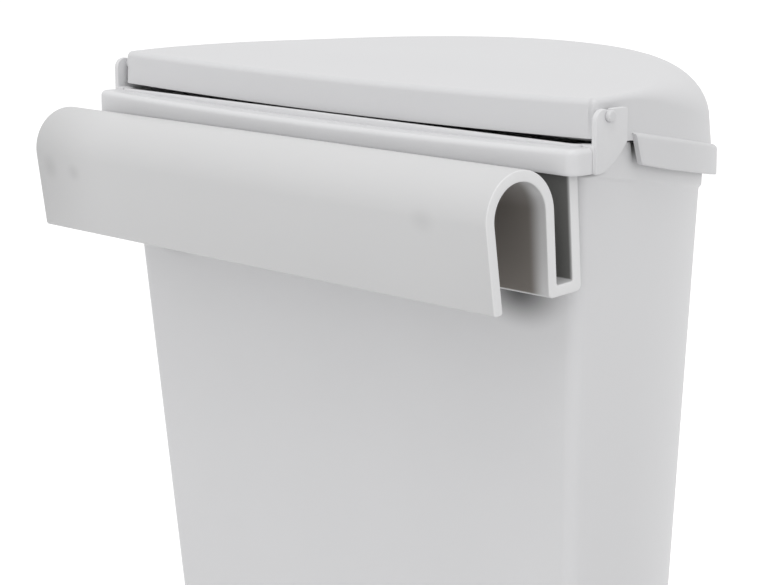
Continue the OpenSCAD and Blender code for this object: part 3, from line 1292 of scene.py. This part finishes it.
class DeepShade(SharedEffect):
    """The shade in a long slot that runs along X."""

    NAME = "Deep shade"
    VECTORS = ("Point", "Centre")
    SIZES = ("Turn", "Radius", "Soft", "Floor", "Outer", "Fade", "Inner", "Crown")

    @classmethod
    def fill(cls, g: Graph, into: bpy.types.NodeOutputs, out: bpy.types.NodeInputs) -> None:
        """Masks a half-round above the slot, down to its floor and along part of X.

        Args:
            g: the group's graph.
            into: the sockets of its input.
            out: the sockets of its output.
        """
        turned = g.node("ShaderNodeVectorRotate", rotation_type="X_AXIS")
        away = g.node("ShaderNodeVectorMath", operation="SUBTRACT")
        apart = g.node("ShaderNodeSeparateXYZ")
        g.link(into["Point"], turned.inputs["Vector"])
        g.link(into["Centre"], turned.inputs["Center"])
        g.link(into["Turn"], turned.inputs["Angle"])
        g.link(turned.outputs[0], away.inputs[0])
        g.link(into["Centre"], away.inputs[1])
        g.link(away.outputs[0], apart.inputs[0])
        x = g.math("ABSOLUTE", apart.outputs["X"])
        y, z = apart.outputs["Y"], apart.outputs["Z"]
        up = g.math("MAXIMUM", z, 0.0)
        d = g.math("SQRT", g.math("ADD", g.math("MULTIPLY", y, y), g.math("MULTIPLY", up, up)))

        def ramp(value: object, low: object, high: object) -> bpy.types.NodeSocket:
            """A soft step.

            Args:
                value: the socket that is read.
                low: the socket whose value gives 0.
                high: the socket whose value gives 1.

            Returns:
                The step's result.
            """
            made = g.node("ShaderNodeMapRange", interpolation_type="SMOOTHSTEP")
            for name, source in (("Value", value), ("From Min", low), ("From Max", high)):
                g.link(source, made.inputs[name])
            return made.outputs["Result"]

        core = ramp(d, into["Radius"], g.math("SUBTRACT", into["Radius"], into["Soft"]))
        base = ramp(z, into["Floor"], g.math("ADD", into["Floor"], into["Soft"]))
        ends = ramp(x, into["Outer"], g.math("SUBTRACT", into["Outer"], into["Fade"]))
        near = ramp(x, into["Inner"], g.math("ADD", into["Inner"], into["Fade"]))
        crown = g.math("SUBTRACT", 1.0, g.math(
            "MULTIPLY", into["Crown"], g.math("DIVIDE", up, into["Radius"])))
        mask = g.math("MULTIPLY", g.math("MULTIPLY", core, base),
                      g.math("MULTIPLY", g.math("MULTIPLY", ends, near), crown))
        g.link(mask, out["Mask"])


@dataclass(frozen=True)
class Spot:
    """A faint darker patch, used for smudges and for painted shade: its place and reach in
    metres, and how much darker it is.
    """

    place: Triple
    reach: Triple
    dark: float


@dataclass(frozen=True)
class Shade:
    """A shaded stretch along X, in metres: a half-round above a slot down to its floor."""

    centre: Triple
    radius: float
    soft: float
    floor: float
    outer: float
    fade: float
    tint: Triple
    turn: float = math.radians(4)
    inner: float = -1.0
    crown: float = 0.0


@dataclass(frozen=True)
class Plastic:
    """A matte grey-white moulded plastic."""

    name: str
    colour: Triple
    roughness: float = 0.42
    cloud: float = 0.02
    bump: float = 0.06
    relief: float = 0.0004
    ior: float = 1.46
    specular: float = 0.42
    rough_spread: float = 0.10
    cloud_relief: float = 1.5
    matte_below: float = 0.5
    grain_scale: float = 900.0
    cloud_scale: float = 22.0
    spots: tuple[Spot, ...] = ()
    shades: tuple[Shade, ...] = ()

    @staticmethod
    def _over(g: Graph, under: bpy.types.NodeSocket | Triple, over: Triple,
              mask: bpy.types.NodeSocket, blend: str = "MIX") -> bpy.types.NodeSocket:
        """Lays a colour over another.

        Args:
            g: the material's graph.
            under: the colour below, as a socket or a value.
            over: the colour laid over it.
            mask: where it is laid.
            blend: the way the two are mixed.

        Returns:
            The resulting colour.
        """
        mixed = g.node("ShaderNodeMix", data_type="RGBA", blend_type=blend)
        mixed.inputs["B"].default_value = (*over, 1)
        g.link(mask, mixed.inputs["Factor"])
        if isinstance(under, bpy.types.NodeSocket):
            g.link(under, mixed.inputs["A"])
        else:
            mixed.inputs["A"].default_value = (*under, 1)
        return mixed.outputs["Result"]

    def _scaled(self, share: float) -> Triple:
        """The plastic's colour, scaled and kept within white."""
        return tuple(min(1.0, c * share) for c in self.colour)

    def build(self) -> bpy.types.Material:
        """Makes the material.

        Returns:
            The material, with colour, roughness and relief from its nodes.
        """
        material = bpy.data.materials.new(self.name)
        material.use_nodes = True
        g = Graph(material.node_tree)
        shader = material.node_tree.nodes["Principled BSDF"]
        shader.inputs["IOR"].default_value = self.ior
        shader.inputs["Specular IOR Level"].default_value = self.specular
        point = g.node("ShaderNodeTexCoord").outputs["Object"]
        grain = MouldedGrain.use(g, point, {"Grain Scale": self.grain_scale,
                                            "Cloud Scale": self.cloud_scale})
        colour = self._over(g, self._scaled(1 - self.cloud), self._scaled(1 + self.cloud),
                            grain["Cloud"])
        for spot in self.spots:
            mark = SoftSpot.use(g, point, {"Place": spot.place, "Stretch": spot.reach})
            colour = self._over(g, colour, self._scaled(1 - spot.dark), mark["Mask"])
        rough = g.math("ADD", g.math("MULTIPLY", grain["Cloud"], self.rough_spread),
                       self.roughness - self.rough_spread / 2)
        for shade in self.shades:
            sizes = {name: getattr(shade, name.lower()) for name in DeepShade.SIZES}
            mask = DeepShade.use(g, point, {"Centre": shade.centre, **sizes})["Mask"]
            colour = self._over(g, colour, shade.tint, mask, "MULTIPLY")
            if shade.tint[0] < self.matte_below:
                rough = g.math("MAXIMUM", rough, mask)
        g.link(colour, shader.inputs["Base Color"])
        g.link(rough, shader.inputs["Roughness"])
        bump = g.node("ShaderNodeBump")
        bump.inputs["Strength"].default_value = self.bump
        bump.inputs["Distance"].default_value = self.relief
        height = g.math("ADD", grain["Grain"],
                        g.math("MULTIPLY", grain["Cloud"], self.cloud_relief))
        g.link(height, bump.inputs["Height"])
        g.link(bump.outputs["Normal"], shader.inputs["Normal"])
        return material


def dress(obj: bpy.types.Object, finish: Plastic) -> None:
    """Gives a piece its finish."""
    obj.data.materials.clear()
    obj.data.materials.append(finish.build())


# ---------------------------------------------------------------------------
# The studio


@dataclass(frozen=True)
class Lamp:
    """A soft area lamp that points at the object."""

    name: str
    place: Triple
    size: float
    power: float
    target: Triple = (0.0, 0.02, 0.2)

    def build(self) -> None:
        """Adds the lamp."""
        data = bpy.data.lights.new(self.name, "AREA")
        data.shape = "DISK"
        data.size = self.size
        data.energy = self.power
        lamp = bpy.data.objects.new(self.name, data)
        bpy.context.scene.collection.objects.link(lamp)
        lamp.location = self.place
        aim = Vector(self.target) - Vector(self.place)
        lamp.rotation_euler = aim.to_track_quat("-Z", "Y").to_euler()


@dataclass
class Studio:
    """Camera, floor, surrounding light and lamps."""

    eye: Triple = (-0.52755, 0.51945, 0.33506)
    right: Triple = (-0.67600, -0.73690, -0.00071)
    up: Triple = (0.14086, -0.13017, 0.98143)
    lens: float = 101.29
    sensor: float = 36.0
    ambient: float = 0.80
    floor_size: float = 30.0
    floor_tone: float = 0.68
    floor_glow: float = 0.55
    lamps: tuple[Lamp, ...] = (
        Lamp("key_above", (-0.3, 0.6, 1.9), 1.4, 8.5),
        Lamp("fill_back", (-0.1, 1.9, 0.12), 1.0, 6.0),
        Lamp("fill_side", (-1.9, -0.2, 0.7), 1.0, 3.2),
    )

    def camera(self) -> None:
        """Adds the camera at the photograph's place and angle."""
        data = bpy.data.cameras.new("camera")
        data.lens = self.lens
        data.sensor_width = self.sensor
        data.sensor_fit = "HORIZONTAL"
        data.clip_start, data.clip_end = 0.01, 50.0
        cam = bpy.data.objects.new("camera", data)
        bpy.context.scene.collection.objects.link(cam)
        right, up = Vector(self.right).normalized(), Vector(self.up).normalized()
        back = right.cross(up).normalized()
        up = back.cross(right)
        turn = Matrix((right, up, back)).transposed().to_4x4()
        cam.matrix_world = Matrix.Translation(Vector(self.eye)) @ turn
        bpy.context.scene.camera = cam

    @staticmethod
    def _seen(g: Graph) -> bpy.types.NodeSocket:
        """1 for camera, glossy and transmission rays, 0 for the rest."""
        path = g.node("ShaderNodeLightPath")
        both = g.math("MAXIMUM", path.outputs["Is Camera Ray"], path.outputs["Is Glossy Ray"])
        return g.math("MAXIMUM", both, path.outputs["Is Transmission Ray"])

    def floor(self) -> None:
        """Adds the plain white floor, which keeps the object's shadow."""
        deselect()
        bpy.ops.mesh.primitive_plane_add(size=self.floor_size)
        floor = bpy.context.object
        floor.name = floor.data.name = "studio_floor"
        material = bpy.data.materials.new("studio_floor")
        material.use_nodes = True
        g = Graph(material.node_tree)
        shader = material.node_tree.nodes["Principled BSDF"]
        shader.inputs["Base Color"].default_value = (*[self.floor_tone] * 3, 1)
        shader.inputs["Roughness"].default_value = 0.9
        shader.inputs["Specular IOR Level"].default_value = 0.1
        shader.inputs["Emission Color"].default_value = (1, 1, 1, 1)
        glow = g.math("MULTIPLY", self._seen(g), self.floor_glow)
        g.link(glow, shader.inputs["Emission Strength"])
        floor.data.materials.append(material)

    def surround(self) -> None:
        """Sets the even light all round, white where it is seen."""
        world = bpy.data.worlds.new("surround")
        bpy.context.scene.world = world
        world.use_nodes = True
        g = Graph(world.node_tree)
        light = world.node_tree.nodes["Background"]
        light.inputs["Color"].default_value = (1, 1, 1, 1)
        strength = g.math("ADD", g.math("MULTIPLY", self._seen(g), 1 - self.ambient),
                          self.ambient)
        g.link(strength, light.inputs["Strength"])

    def build(self) -> None:
        """Adds all of it but the camera, which comes first."""
        self.floor()
        self.surround()
        for lamp in self.lamps:
            lamp.build()
        bpy.context.scene.view_settings.view_transform = "Standard"


# Shade under the rail's ends and beside the hanger's foot, and in the slit at the flange's end
TUB_PLASTIC = Plastic(
    "tub_plastic", (0.70, 0.70, 0.71),
    spots=tuple(Spot((side * x, y, z), reach, dark) for (x, y, z), reach, dark in (
        ((0.1115, 0.061, 0.2482), (0.005, 0.010, 0.0014), 0.75),
        ((0.084, 0.0612, 0.2118), (0.022, 0.012, 0.0135), 0.88)) for side in (-1, 1)),
    shades=(Shade((0.0, 0.0419, 0.2565), 0.0013, 0.0006, -0.0107, 0.113, 0.0005,
                  (0.08, 0.08, 0.07), turn=math.radians(16), inner=0.1098),))
LID_PLASTIC = Plastic("lid_plastic", (0.65, 0.65, 0.66))
# Painted shade that darkens the outer lip towards its +X end, and faint smudges on the lip
HANGER_PLASTIC = Plastic(
    "hanger_plastic", (0.77, 0.77, 0.775), roughness=0.38,
    # The first spot is painted shade over the lip's +X end; the other three are smudges
    spots=(Spot((0.12, 0.101, 0.235), (0.05, 0.03, 0.05), 0.20),
           Spot((0.1025, 0.1, 0.233), (0.006, 0.02, 0.006), 0.24),
           Spot((0.0885, 0.1, 0.2325), (0.005, 0.02, 0.004), 0.16),
           Spot((-0.084, 0.1, 0.2365), (0.007, 0.02, 0.005), 0.07)))


def main() -> None:
    """Builds the scene."""
    logging.basicConfig(level=logging.INFO, format="%(message)s")
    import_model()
    studio = Studio()
    studio.camera()
    rim = Rim()
    hanger = DoorHanger(rim)
    plan: list[tuple[Callable[[], bpy.types.Object], Body, str, Plastic]] = [
        (Tub(rim).build, Body.TUB, "tub", TUB_PLASTIC),
        (Lid(rim).build, Body.LID, "lid", LID_PLASTIC),
        (hanger.build, Body.HANGER, "door_hanger", hanger.finish(HANGER_PLASTIC)),
    ]
    for build, body, node, finish in plan:
        piece = build()
        dress(piece, finish)
        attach(piece, body.value)
        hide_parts(node)
        log.info("%s: %d faces", piece.name, len(piece.data.polygons))
    studio.build()
    deselect()


if __name__ == "__main__":
    main()
